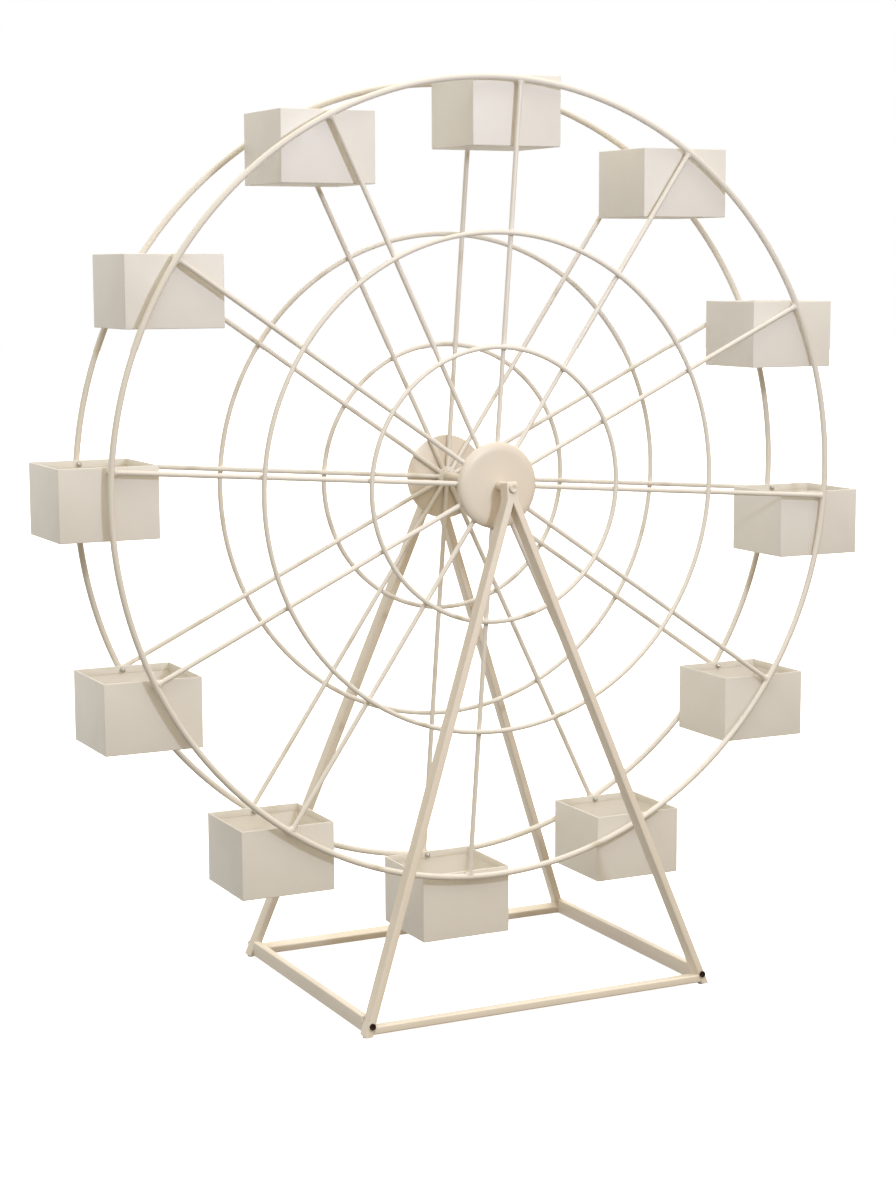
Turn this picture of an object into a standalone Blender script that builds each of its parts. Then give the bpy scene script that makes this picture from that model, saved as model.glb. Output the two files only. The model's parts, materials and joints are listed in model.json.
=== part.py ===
"""Decorative ferris wheel stand in painted metal, with twelve hanging boxes.

Metres, +Z up, +X to the right and -Y towards the viewer of the front side. The origin is on the
floor under the middle of the wheel. The wheel turns on a long bolt between two A-frames, and each
box hangs level on two studs, one on each rim.
"""
import math

import bmesh
import bpy
from mathutils import Matrix, Vector

GAP = 0.0003                 # between pieces that touch
MERGE = 0.00001              # merge distance at seams and poles

# Stand
AXLE_HEIGHT = 0.824
BASE_WIDTH = 0.605           # between the leg centre lines, at their feet
BASE_DEPTH = 0.480           # the same from front to back
TUBE_WIDTH = 0.012           # rectangular tube, narrow side
TUBE_DEPTH = 0.025           # rectangular tube, broad side
APEX_DROP = 0.0095           # the centre lines of a pair of legs meet this far under the axle
LEG_CLEARANCE = 0.0205       # between the hub disc and the legs, beside the axle
FOOT_RADIUS = 0.0055
FOOT_HEIGHT = 0.003
SIDE_BAR_LIFT = 0.001        # underside of the side bars over the underside of the legs
SLEEVE_RADIUS = 0.008
SLEEVE_PROUD = 0.0005        # how far the sleeve stands out past the legs, under the washer

# Axle
AXLE_RADIUS = 0.005
AXLE_CLEARANCE = 0.0003      # between the axle and what it runs through
RUNNING_GAP = 0.0008         # between the turning hub and the fixed sleeves
AXLE_HEAD_RADIUS = 0.008
AXLE_HEAD_HEIGHT = 0.003     # a low head with a small socket
AXLE_HEAD_SOCKET = 0.0025
WASHER_RADIUS = 0.0115       # behind, under the nut
WASHER_THICKNESS = 0.0015
AXLE_NUT_RADIUS = 0.0095
AXLE_NUT_HEIGHT = 0.008
AXLE_END = 0.003             # thread past the nut

# Corner bolts
BOLT_RADIUS = 0.003
BOLT_CLEARANCE = 0.0004
BOLT_HEAD_RADIUS = 0.005
BOLT_HEAD_HEIGHT = 0.0035
BOLT_REACH = 0.016           # thread inside the side bar
BOLT_LIFT = 0.0135           # bolt over the underside of the side bar
SOCKET_RADIUS = 0.0026
SOCKET_DEPTH = 0.002

# Wheel
WHEEL_TURN = math.radians(4.16)      # clockwise from the front, as it stands at rest
SPOKES = 12
RIM_RADIUS = 0.640           # to the middle of the rod
RIM_ROD = 0.010
MIDDLE_RING_RADIUS = 0.400
INNER_RING_RADIUS = 0.220
SPOKE_ROD = 0.008
RING_ROD = 0.008
HUB_TUBE_RADIUS = 0.0095
DISC_RADIUS = 0.0695
DISC_DEPTH = 0.012
DISC_THICKNESS = 0.002
DISC_EDGE_WIDTH = 0.016      # the rounded edge is broad from the side and soft from the front
DISC_EDGE_DEPTH = 0.008

# Boxes
BOX_WIDTH = 0.157
BOX_DEPTH = 0.149
BOX_HEIGHT = 0.111
BOX_WALL = 0.001
HEM = 0.002                  # folded top edge, two sheets thick
HEM_HEIGHT = 0.012
BOX_RISE = 0.007             # top edge of a box over its studs
STUD_RADIUS = 0.0025
STUD_CLEARANCE = 0.0005      # between a stud and its hole
RIM_GAP = 0.0062             # between a box and the rims
SPACER_RADIUS = 0.004
NUT_RADIUS = 0.0042
NUT_HEIGHT = 0.004
NUT_DOME = 0.003

# Number of flat sides on the round pieces
RIM_SEGMENTS = 84
MIDDLE_RING_SEGMENTS = 60
INNER_RING_SEGMENTS = 48
ROD_SIDES = 8
TURNED_SEGMENTS = 24
SMALL_SEGMENTS = 12
EDGE_STEPS = 5

# What follows from these sizes
RIM_Y = BOX_DEPTH / 2 + RIM_GAP + RIM_ROD / 2
RING_Y = RIM_Y + SPOKE_ROD / 2 + GAP + RING_ROD / 2
DISC_BACK_Y = RIM_Y + SPOKE_ROD / 2 + GAP
DISC_FACE_Y = DISC_BACK_Y + DISC_DEPTH
LEG_FOOT = Vector((BASE_WIDTH / 2, BASE_DEPTH / 2, FOOT_HEIGHT))
LEG_TOP_Y = DISC_FACE_Y + LEG_CLEARANCE + TUBE_DEPTH / 2
SPLAY = math.atan2(LEG_FOOT.y - LEG_TOP_Y, AXLE_HEIGHT - FOOT_HEIGHT)
SLEEVE_END_Y = (LEG_TOP_Y + TUBE_DEPTH / 2 / math.cos(SPLAY)
                + AXLE_NUT_RADIUS * math.tan(SPLAY) + SLEEVE_PROUD)
BIG = 0.1                    # cutters reach this far past what they trim

COLORS = {
    "cream paint": ((0.78, 0.73, 0.63), 0.45, 0.0),
    "cream sheet paint": ((0.76, 0.72, 0.64), 0.5, 0.0),
    "plated steel": ((0.75, 0.73, 0.68), 0.35, 1.0),
    "black oxide steel": ((0.02, 0.018, 0.016), 0.45, 0.6),
    "black rubber": ((0.02, 0.02, 0.02), 0.8, 0.0),
}


def clear_scene():
    for obj in list(bpy.data.objects):
        bpy.data.objects.remove(obj, do_unlink=True)
    for collection in list(bpy.data.collections):
        bpy.data.collections.remove(collection)


def new_collection(name):
    collection = bpy.data.collections.new(name)
    bpy.context.scene.collection.children.link(collection)
    return collection


def make_material(name):
    color, roughness, metallic = COLORS[name]
    material = bpy.data.materials.new(name)
    material.use_nodes = True
    shader = material.node_tree.nodes["Principled BSDF"]
    shader.inputs["Base Color"].default_value = (*color, 1.0)
    shader.inputs["Roughness"].default_value = roughness
    shader.inputs["Metallic"].default_value = metallic
    return material


clear_scene()
PARTS = new_collection("ferris_wheel_stand")
CUTTERS = new_collection("cutters")
MATERIALS = {name: make_material(name) for name in COLORS}


def place(obj, parent=None):
    """Puts a finished piece in the collection of parts."""
    for collection in list(obj.users_collection):
        collection.objects.unlink(obj)
    PARTS.objects.link(obj)
    obj.parent = parent
    return obj


def hide(obj, collection=None):
    """Makes a piece a cutter or a guide."""
    for other in list(obj.users_collection):
        other.objects.unlink(obj)
    (collection or CUTTERS).objects.link(obj)
    obj.hide_render = True
    obj.display_type = "WIRE"
    return obj


def new_object(name, mesh, material):
    obj = bpy.data.objects.new(name, mesh)
    mesh.materials.append(MATERIALS[material])
    bpy.context.scene.collection.objects.link(obj)
    return obj


def cuboid(name, low, high, material="cream paint"):
    """A box between two corners."""
    low, high = Vector(low), Vector(high)
    bm = bmesh.new()
    bmesh.ops.create_cube(bm, size=1.0)
    bmesh.ops.scale(bm, vec=high - low, verts=bm.verts)
    bmesh.ops.translate(bm, vec=(low + high) / 2, verts=bm.verts)
    mesh = bpy.data.meshes.new(name)
    bm.to_mesh(mesh)
    bm.free()
    return new_object(name, mesh, material)


def cylinder(name, radius, start, end, sides, material="cream paint"):
    """A straight round rod from start to end, one corner of its section along Y if it can."""
    axis = Vector(end) - Vector(start)
    bm = bmesh.new()
    bmesh.ops.create_cone(bm, cap_ends=True, segments=sides, radius1=radius, radius2=radius,
                          depth=axis.length)
    mesh = bpy.data.meshes.new(name)
    bm.to_mesh(mesh)
    bm.free()
    obj = new_object(name, mesh, material)
    obj.matrix_world = Matrix.Translation((Vector(start) + Vector(end)) / 2) @ \
        axis.to_track_quat("Z", "Y").to_matrix().to_4x4()
    mesh.set_sharp_from_angle(angle=math.radians(50))
    return obj


def turned(name, profile, segments, material):
    """A piece turned about Y, from (radius, y) points; a profile off the axis is a closed loop."""
    area = sum(a[0] * b[1] - b[0] * a[1] for a, b in zip(profile, profile[1:] + profile[:1]))
    points = profile if area < 0 else profile[::-1]
    closed = min(radius for radius, _ in points) > MERGE
    mesh = bpy.data.meshes.new(name)
    edges = [(i, i + 1) for i in range(len(points) - 1)]
    if closed:
        edges.append((len(points) - 1, 0))
    mesh.from_pydata([(radius, y, 0.0) for radius, y in points], edges, [])
    obj = new_object(name, mesh, material)
    screw = obj.modifiers.new("turn", "SCREW")
    screw.axis = "Y"
    screw.angle = math.tau
    screw.steps = segments
    screw.render_steps = segments
    screw.use_merge_vertices = True
    screw.merge_threshold = MERGE
    screw.use_normal_calculate = False
    return obj


def boolean(obj, other, operation="DIFFERENCE"):
    modifier = obj.modifiers.new(operation.lower(), "BOOLEAN")
    modifier.operation = operation
    modifier.solver = "EXACT"
    if isinstance(other, bpy.types.Collection):
        modifier.operand_type = "COLLECTION"
        modifier.collection = other
    else:
        modifier.object = other
    return obj


def baked(obj, name):
    """The evaluated mesh of an object, for copies to share."""
    bpy.context.view_layer.update()
    evaluated = obj.evaluated_get(bpy.context.evaluated_depsgraph_get())
    mesh = bpy.data.meshes.new_from_object(evaluated)
    mesh.name = name
    return mesh


def arc(center, half_width, half_depth, start, end, steps):
    """Points of a round or flattened arc in (radius, y), angles in degrees."""
    points = []
    for i in range(steps + 1):
        angle = math.radians(start + (end - start) * i / steps)
        points.append((center[0] + half_width * math.cos(angle),
                       center[1] + half_depth * math.sin(angle)))
    return points


# Stand

def leg_line(side_x, side_y):
    """Foot of a leg, its direction up to the apex and the outward normal of its A-frame."""
    foot = Vector((side_x * LEG_FOOT.x, side_y * LEG_FOOT.y, LEG_FOOT.z))
    apex = Vector((0.0, side_y * (LEG_TOP_Y + APEX_DROP * math.tan(SPLAY)),
                   AXLE_HEIGHT - APEX_DROP))
    normal = Vector((0.0, side_y * math.cos(SPLAY), math.sin(SPLAY)))
    return foot, (apex - foot).normalized(), normal


def leg_bar(name, side_x, side_y, extra_width=0.0, extra_depth=0.0):
    """The straight tube of a leg, longer at both ends than it will be."""
    foot, along, normal = leg_line(side_x, side_y)
    across = normal.cross(along)
    length = (AXLE_HEIGHT - FOOT_HEIGHT) / along.z
    half_width = (TUBE_WIDTH + extra_width) / 2
    half_depth = (TUBE_DEPTH + extra_depth) / 2
    bar = cuboid(name, (-half_width, -half_depth, -TUBE_DEPTH),
                 (half_width, half_depth, length + TUBE_DEPTH))
    turn = Matrix((across, normal, along)).transposed().to_4x4()
    bar.matrix_world = Matrix.Translation(foot) @ turn
    return bar


def side_bar_box(side_x, extra=0.0):
    """Corners of a side bar, from one A-frame to the other and past them."""
    center_x = side_x * side_bar_x()
    bottom = FOOT_HEIGHT + SIDE_BAR_LIFT
    low = Vector((center_x - TUBE_WIDTH / 2 - extra, -LEG_FOOT.y, bottom - extra))
    high = Vector((center_x + TUBE_WIDTH / 2 + extra, LEG_FOOT.y, bottom + TUBE_DEPTH + extra))
    return low, high


def side_bar_x():
    """The side bars stand behind the legs, at the height of the corner bolts."""
    foot, along, _ = leg_line(1, 1)
    return foot.x + along.x / along.z * (SIDE_BAR_LIFT + BOLT_LIFT)


def bolt_line(side_x, side_y):
    """Seat of a corner bolt on the leg's outer face, and its direction inwards."""
    foot, along, normal = leg_line(side_x, side_y)
    seat = foot + along * ((SIDE_BAR_LIFT + BOLT_LIFT) / along.z) + normal * (TUBE_DEPTH / 2)
    return seat, -normal


def base_bar_box(side_y, extra=0.0):
    """Corners of the bottom bar of an A-frame, laid flat between the legs."""
    center_y = side_y * (LEG_FOOT.y - TUBE_WIDTH / 2 * math.tan(SPLAY))
    low = Vector((-LEG_FOOT.x, center_y - TUBE_DEPTH / 2 - extra, FOOT_HEIGHT - extra))
    high = Vector((LEG_FOOT.x, center_y + TUBE_DEPTH / 2 + extra,
                   FOOT_HEIGHT + TUBE_WIDTH + extra))
    return low, high


def build_legs():
    below = hide(cuboid("below_floor_cutter", (-LEG_FOOT.x - BIG, -LEG_FOOT.y - BIG, -BIG),
                        (LEG_FOOT.x + BIG, LEG_FOOT.y + BIG, FOOT_HEIGHT)))
    above = hide(cuboid("above_axle_cutter", (-BIG, -LEG_FOOT.y - BIG, AXLE_HEIGHT),
                        (BIG, LEG_FOOT.y + BIG, AXLE_HEIGHT + BIG)))
    sleeve_room = hide(cylinder("sleeve_cutter", SLEEVE_RADIUS + GAP,
                                (0, -SLEEVE_END_Y - BIG, AXLE_HEIGHT),
                                (0, SLEEVE_END_Y + BIG, AXLE_HEIGHT), TURNED_SEGMENTS))
    for side_x, side_name in ((-1, "left"), (1, "right")):
        edge = -side_x * GAP / 2
        past = -side_x * BIG
        mitre = hide(cuboid(side_name + "_mitre_cutter",
                            (min(-edge, past), -LEG_FOOT.y - BIG, 0),
                            (max(-edge, past), LEG_FOOT.y + BIG, AXLE_HEIGHT + BIG)))
        for side_y, face_name in ((-1, "front"), (1, "back")):
            leg = leg_bar(face_name + "_" + side_name + "_leg", side_x, side_y)
            for cutter in (below, above, mitre, sleeve_room):
                boolean(leg, cutter)
            boolean(leg, bolt_room(side_x, side_y))
            place(leg)


def bolt_room(side_x, side_y):
    """Hole of a corner bolt, through the leg and into the side bar."""
    seat, inwards = bolt_line(side_x, side_y)
    name = "bolt_cutter_%d_%d" % (side_x, side_y)
    if name in bpy.data.objects:
        return bpy.data.objects[name]
    end = seat + inwards * (TUBE_DEPTH + BOLT_REACH + BOLT_CLEARANCE + GAP)
    return hide(cylinder(name, BOLT_RADIUS + BOLT_CLEARANCE, seat - inwards * TUBE_DEPTH, end,
                         SMALL_SEGMENTS))


def build_base():
    leg_room = {}
    for side_x in (-1, 1):
        for side_y in (-1, 1):
            name = "leg_room_%d_%d" % (side_x, side_y)
            leg_room[side_x, side_y] = hide(leg_bar(name, side_x, side_y, 2 * GAP, 2 * GAP))
    for side_y, face_name in ((-1, "front"), (1, "back")):
        bar = cuboid(face_name + "_base_bar", *base_bar_box(side_y))
        for side_x in (-1, 1):
            room = hide(leg_bar("bar_end_%d_%d" % (side_x, side_y), side_x, side_y,
                                2 * GAP, TUBE_DEPTH))
            boolean(bar, room)
        place(bar)
    for side_x, side_name in ((-1, "left"), (1, "right")):
        bar = cuboid(side_name + "_base_bar", *side_bar_box(side_x))
        for side_y in (-1, 1):
            room = hide(leg_bar("side_end_%d_%d" % (side_x, side_y), side_x, side_y,
                                TUBE_DEPTH, 2 * GAP))
            boolean(bar, room)
            base_room = hide(cuboid("base_bar_room_%d_%d" % (side_x, side_y),
                                    *base_bar_box(side_y, GAP)))
            boolean(bar, base_room)
            boolean(bar, bolt_room(side_x, side_y))
        place(bar)


def build_feet():
    for side_x, side_name in ((-1, "left"), (1, "right")):
        for side_y, face_name in ((-1, "front"), (1, "back")):
            x, y = side_x * LEG_FOOT.x, side_y * LEG_FOOT.y
            foot = cylinder(face_name + "_" + side_name + "_foot", FOOT_RADIUS, (x, y, 0),
                            (x, y, FOOT_HEIGHT - GAP), SMALL_SEGMENTS, "black rubber")
            place(foot)


def build_corner_bolts():
    """Socket-head bolts, each one piece turned about its own axis."""
    shank_end = TUBE_DEPTH + BOLT_REACH
    profile = [
        (0.0, -BOLT_HEAD_HEIGHT + SOCKET_DEPTH - GAP),
        (SOCKET_RADIUS, -BOLT_HEAD_HEIGHT + SOCKET_DEPTH - GAP),
        (SOCKET_RADIUS, -BOLT_HEAD_HEIGHT - GAP),
        (BOLT_HEAD_RADIUS, -BOLT_HEAD_HEIGHT - GAP),
        (BOLT_HEAD_RADIUS, -GAP),
        (BOLT_RADIUS, -GAP),
        (BOLT_RADIUS, shank_end),
        (0.0, shank_end),
    ]
    for side_x, side_name in ((-1, "left"), (1, "right")):
        for side_y, face_name in ((-1, "front"), (1, "back")):
            seat, inwards = bolt_line(side_x, side_y)
            bolt = turned(face_name + "_" + side_name + "_bolt", profile, SMALL_SEGMENTS,
                          "black oxide steel")
            bolt.matrix_world = Matrix.Translation(seat) @ \
                inwards.to_track_quat("Y", "Z").to_matrix().to_4x4()
            place(bolt)


def build_axle():
    center = Vector((0, 0, AXLE_HEIGHT))
    bore = AXLE_RADIUS + AXLE_CLEARANCE
    sleeve_start = DISC_FACE_Y + RUNNING_GAP
    for side_y, face_name in ((-1, "front"), (1, "back")):
        profile = [(bore, side_y * sleeve_start), (SLEEVE_RADIUS, side_y * sleeve_start),
                   (SLEEVE_RADIUS, side_y * SLEEVE_END_Y), (bore, side_y * SLEEVE_END_Y)]
        sleeve = turned(face_name + "_axle_sleeve", profile, TURNED_SEGMENTS, "cream paint")
        sleeve.location = center
        place(sleeve)
    washer_y = SLEEVE_END_Y + GAP
    nut_y = washer_y + WASHER_THICKNESS
    nut_end = nut_y + AXLE_NUT_HEIGHT
    head_end = washer_y + AXLE_HEAD_HEIGHT
    bolt = turned("axle_bolt", [
        (0.0, -head_end + AXLE_HEAD_HEIGHT / 2),
        (AXLE_HEAD_SOCKET, -head_end + AXLE_HEAD_HEIGHT / 2),
        (AXLE_HEAD_SOCKET, -head_end),
        (AXLE_HEAD_RADIUS * 0.85, -head_end),
        (AXLE_HEAD_RADIUS, -head_end + AXLE_HEAD_HEIGHT / 3),
        (AXLE_HEAD_RADIUS, -washer_y),
        (AXLE_RADIUS, -washer_y),
        (AXLE_RADIUS, nut_end + AXLE_END),
        (0.0, nut_end + AXLE_END),
    ], TURNED_SEGMENTS, "cream paint")
    bolt.location = center
    place(bolt)
    nut = turned("axle_nut", [
        (bore, washer_y), (WASHER_RADIUS, washer_y), (WASHER_RADIUS, nut_y),
        (AXLE_NUT_RADIUS, nut_y), (AXLE_NUT_RADIUS, nut_end), (bore, nut_end),
    ], TURNED_SEGMENTS, "cream paint")
    nut.location = center
    place(nut)


# Wheel

def ring(name, radius, rod, y, segments, parent):
    """A ring of round rod in the plane of the wheel, with flats towards its spokes and studs."""
    half_side = 180 / ROD_SIDES
    profile = arc((radius, y), rod / 2, rod / 2, half_side, 360 - half_side, ROD_SIDES - 1)
    obj = turned(name, profile, segments, "cream paint")
    obj.rotation_euler = (0, math.pi / segments, 0)
    return place(obj, parent)


def spoke_angle(index):
    return math.tau * index / SPOKES


def on_wheel(radius, angle, y):
    """A point of the wheel, in its own frame; the angle runs clockwise from the top."""
    return Vector((radius * math.sin(angle), y, radius * math.cos(angle)))


def stud_profile(side_y):
    """Spacer, stud and domed nut, from the middle of the rim's rod inwards."""
    wall = RIM_ROD / 2 + RIM_GAP
    nut = wall + HEM + GAP
    steps = [
        (0.0, 0.0), (SPACER_RADIUS, 0.0), (SPACER_RADIUS, wall - GAP), (STUD_RADIUS, wall - GAP),
        (STUD_RADIUS, nut), (NUT_RADIUS, nut), (NUT_RADIUS, nut + NUT_HEIGHT),
        (NUT_RADIUS * 0.6, nut + NUT_HEIGHT + NUT_DOME * 0.8),
        (0.0, nut + NUT_HEIGHT + NUT_DOME),
    ]
    return [(radius, -side_y * inwards) for radius, inwards in steps]


def build_rim(face_name, side_y, wheel):
    rim = ring(face_name + "_rim", RIM_RADIUS, RIM_ROD, side_y * RIM_Y, RIM_SEGMENTS, wheel)
    studs = bpy.data.collections.new(face_name + "_studs")
    CUTTERS.children.link(studs)
    for index in range(SPOKES):
        stud = turned("%s_stud_%02d" % (face_name, index + 1), stud_profile(side_y), ROD_SIDES,
                      "plated steel")
        stud.parent = wheel
        stud.rotation_euler = (0, spoke_angle(index) + math.pi / ROD_SIDES, 0)
        stud.location = on_wheel(RIM_RADIUS, spoke_angle(index), side_y * RIM_Y)
        hide(stud, studs)
    boolean(rim, studs, "UNION")


def build_spokes(face_name, side_y, wheel):
    """Six rods across the whole wheel, joined at the hub and bored for the hub tube."""
    rim_inside = RIM_RADIUS * math.cos(math.pi / RIM_SEGMENTS)
    rim_inside -= RIM_ROD / 2 * math.cos(math.pi / ROD_SIDES)
    reach = rim_inside - GAP
    rods = []
    for index in range(SPOKES // 2):
        end = on_wheel(reach, spoke_angle(index), 0.0)
        rod = cylinder("%s_spokes_%d" % (face_name, index), SPOKE_ROD / 2, -end, end, ROD_SIDES)
        rod.rotation_mode = "XYZ"
        rod.rotation_euler = (0, spoke_angle(index), 0)
        rod.location = (0, side_y * RIM_Y, 0)
        rod.parent = wheel
        rods.append(rod)
    spokes = rods[0]
    spokes.name = face_name + "_spokes"
    for rod in rods[1:]:
        boolean(spokes, hide(rod), "UNION")
    bore = hide(cylinder(face_name + "_hub_cutter", HUB_TUBE_RADIUS + GAP,
                         (0, side_y * RIM_Y - SPOKE_ROD, 0), (0, side_y * RIM_Y + SPOKE_ROD, 0),
                         TURNED_SEGMENTS))
    bore.parent = wheel
    boolean(spokes, bore)
    place(spokes, wheel)


def build_disc(face_name, side_y, wheel):
    """A dished disc with a rounded edge, its hollow side on the spokes."""
    bore = AXLE_RADIUS + AXLE_CLEARANCE
    inside = DISC_FACE_Y - DISC_THICKNESS
    edge = (DISC_RADIUS - DISC_EDGE_WIDTH, DISC_FACE_Y - DISC_EDGE_DEPTH)
    outer = arc(edge, DISC_EDGE_WIDTH, DISC_EDGE_DEPTH, 90, 0, EDGE_STEPS)
    inner = arc(edge, DISC_EDGE_WIDTH - DISC_THICKNESS, DISC_EDGE_DEPTH - DISC_THICKNESS, 0, 90,
                EDGE_STEPS)
    profile = [(bore, DISC_FACE_Y)] + outer + [
        (DISC_RADIUS, DISC_BACK_Y), (DISC_RADIUS - DISC_THICKNESS, DISC_BACK_Y)
    ] + inner + [(bore, inside)]
    disc = turned(face_name + "_hub_disc", [(radius, side_y * y) for radius, y in profile],
                  2 * TURNED_SEGMENTS, "cream paint")
    place(disc, wheel)


def build_hub_tube(wheel):
    half = DISC_FACE_Y - DISC_THICKNESS - GAP
    bore = AXLE_RADIUS + AXLE_CLEARANCE
    profile = [(bore, -half), (HUB_TUBE_RADIUS, -half), (HUB_TUBE_RADIUS, half), (bore, half)]
    place(turned("hub_tube", profile, TURNED_SEGMENTS, "cream paint"), wheel)


def build_wheel():
    wheel = bpy.data.objects.new("wheel_axis", None)
    PARTS.objects.link(wheel)
    wheel.location = (0, 0, AXLE_HEIGHT)
    wheel.rotation_euler = (0, WHEEL_TURN, 0)
    for side_y, face_name in ((-1, "front"), (1, "back")):
        build_rim(face_name, side_y, wheel)
        build_spokes(face_name, side_y, wheel)
        ring(face_name + "_middle_ring", MIDDLE_RING_RADIUS, RING_ROD, side_y * RING_Y,
             MIDDLE_RING_SEGMENTS, wheel)
        ring(face_name + "_inner_ring", INNER_RING_RADIUS, RING_ROD, side_y * RING_Y,
             INNER_RING_SEGMENTS, wheel)
        build_disc(face_name, side_y, wheel)
    build_hub_tube(wheel)
    return wheel


# Boxes

def box_mesh():
    """An open box with a folded top edge and a hole for a stud in front and behind."""
    half_x, half_y = BOX_WIDTH / 2, BOX_DEPTH / 2
    bottom = BOX_RISE - BOX_HEIGHT
    body = hide(cuboid("box_body", (-half_x, -half_y, bottom), (half_x, half_y, BOX_RISE),
                       "cream sheet paint"))
    cavity = hide(cuboid("box_cavity", (-half_x + BOX_WALL, -half_y + BOX_WALL, bottom + BOX_WALL),
                         (half_x - BOX_WALL, half_y - BOX_WALL, BOX_RISE - HEM_HEIGHT)))
    mouth = hide(cuboid("box_mouth", (-half_x + HEM, -half_y + HEM, bottom + HEM),
                        (half_x - HEM, half_y - HEM, BOX_RISE + HEM)))
    hole = hide(cylinder("box_hole", STUD_RADIUS + STUD_CLEARANCE, (0, -half_y - HEM, 0),
                         (0, half_y + HEM, 0), SMALL_SEGMENTS))
    for cutter in (cavity, mouth, hole):
        boolean(body, cutter)
    return baked(body, "box")


def build_boxes(wheel):
    mesh = box_mesh()
    for index in range(SPOKES):
        box = bpy.data.objects.new("box_%02d" % (index + 1), mesh)
        place(box, wheel)
        box.location = on_wheel(RIM_RADIUS, spoke_angle(index), 0.0)
        box.rotation_euler = (0, -WHEEL_TURN, 0)


build_legs()
build_base()
build_feet()
build_corner_bolts()
build_axle()
build_boxes(build_wheel())
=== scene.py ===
import json
import math

import bmesh
import bpy
from mathutils import Matrix, Vector


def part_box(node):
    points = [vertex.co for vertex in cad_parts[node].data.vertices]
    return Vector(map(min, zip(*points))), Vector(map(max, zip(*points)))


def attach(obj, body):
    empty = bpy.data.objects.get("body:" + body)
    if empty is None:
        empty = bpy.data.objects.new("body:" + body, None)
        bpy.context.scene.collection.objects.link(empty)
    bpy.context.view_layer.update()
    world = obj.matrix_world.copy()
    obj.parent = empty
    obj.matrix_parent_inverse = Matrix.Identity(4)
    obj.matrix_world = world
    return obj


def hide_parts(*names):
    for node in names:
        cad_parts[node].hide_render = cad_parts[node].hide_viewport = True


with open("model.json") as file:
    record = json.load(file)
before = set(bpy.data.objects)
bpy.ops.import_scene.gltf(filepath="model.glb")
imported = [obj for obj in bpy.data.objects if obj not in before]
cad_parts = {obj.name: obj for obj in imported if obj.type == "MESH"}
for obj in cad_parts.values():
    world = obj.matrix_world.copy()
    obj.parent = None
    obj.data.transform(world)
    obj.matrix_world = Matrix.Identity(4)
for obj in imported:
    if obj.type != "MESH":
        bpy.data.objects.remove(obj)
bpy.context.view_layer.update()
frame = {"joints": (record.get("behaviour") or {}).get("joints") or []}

# Looks for a decorative ferris wheel stand: welded round rod and rectangular tube with folded
# sheet boxes, all powder coated cream. Lengths are in metres unless a name ends in Mm, and the
# front of the stand faces -Y.

jointPlace = {joint["name"]: Vector(joint["pos_m"]) for joint in frame["joints"]}
axle = jointPlace["wheel_spin"]
firstBox = jointPlace["box_01_swing"] - axle
rimRadius = firstBox.length                     # to the middle of the rim's rod
wheelTurn = math.atan2(firstBox.x, firstBox.z)  # clockwise from the front, as it rests
stations = 12                                   # spokes, studs and boxes round the wheel
faces = (("front", -1), ("back", 1))
sides = (("left", -1), ("right", 1))
gap = 0.0003                    # left between pieces, as in the solids
bend = 0.3                      # middle of a small rounded edge, as a part of its radius
sharpAngle = math.radians(38)   # edges bent further than this stay sharp
mergeDistance = 0.000001


def middle(node):
    low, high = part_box(node)
    return (low + high) / 2


def outermost(node):
    low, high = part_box(node)
    return max(abs(low.y), abs(high.y))


def innermost(node):
    low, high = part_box(node)
    return min(abs(low.y), abs(high.y))


def halfWidth(node):
    low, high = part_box(node)
    return (high.x - low.x) / 2


# front_left and Leg make frontLeftLeg
def cornerName(corner, ending):
    face, sideName = corner.split("_")
    return face + sideName.capitalize() + ending


# Colours and nodes

def paintColor(code):
    values = [int(code[i:i + 2], 16) / 255 for i in (1, 3, 5)]
    linear = [v / 12.92 if v <= 0.04045 else ((v + 0.055) / 1.055) ** 2.4 for v in values]
    return (*linear, 1.0)


# A setting is a property of the node where it has one of that name, and otherwise an input's value
def addNode(tree, kind, settings=None, links=None):
    node = tree.nodes.new(kind)
    for key, value in (settings or {}).items():
        if isinstance(key, str) and hasattr(node, key):
            setattr(node, key, value)
        else:
            node.inputs[key].default_value = value
    for key, source in (links or {}).items():
        tree.links.new(source, node.inputs[key])
    return node


def newMaterial(name):
    material = bpy.data.materials.new(name)
    material.use_nodes = True
    tree = material.node_tree
    tree.nodes.clear()
    return material, tree, addNode(tree, "ShaderNodeTexCoord").outputs["Object"]


# Powder coat baked on steel tube, discs and fittings: a thick soft-edged film with a satin shine
# and a fine orange peel, a little deeper in tone here and there
rodCoat = {
    "name": "creamPowderCoatOnRodAndTube",
    "color": "#E9DECC",
    "deepColor": "#E2D6C2",
    "toneMm": 70,
    "waveMm": 24,            # hand-bent rod and drawn tube are never quite even
    "waveHeightMm": 0.05,
    "peelMm": 1.6,           # the real peel is nearer 0.8, and wouldn't show
    "peelHeightMm": 0.016,
    "roughness": (0.36, 0.45),
}

# The same coat on the wheel's thin rods, painted paler and greyer: painted light that brightens
# the thin rods
thinRodCoatWithPaintedLight = dict(rodCoat, name="creamPowderCoatWithPaintedLightOnThinRod", color="#ECE5D8",
                   deepColor="#E5DDCE")

# The same coat on thin folded sheet: slightly greyer, and the sheet is never quite flat
sheetCoat = {
    "name": "creamPowderCoatOnFoldedSheet",
    "color": "#EDE8DD",
    "deepColor": "#E8E2D6",
    "toneMm": 45,
    "waveMm": 55,
    "waveHeightMm": 0.5,
    "peelMm": 1.8,
    "peelHeightMm": 0.016,
    "roughness": (0.42, 0.51),
}


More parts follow.
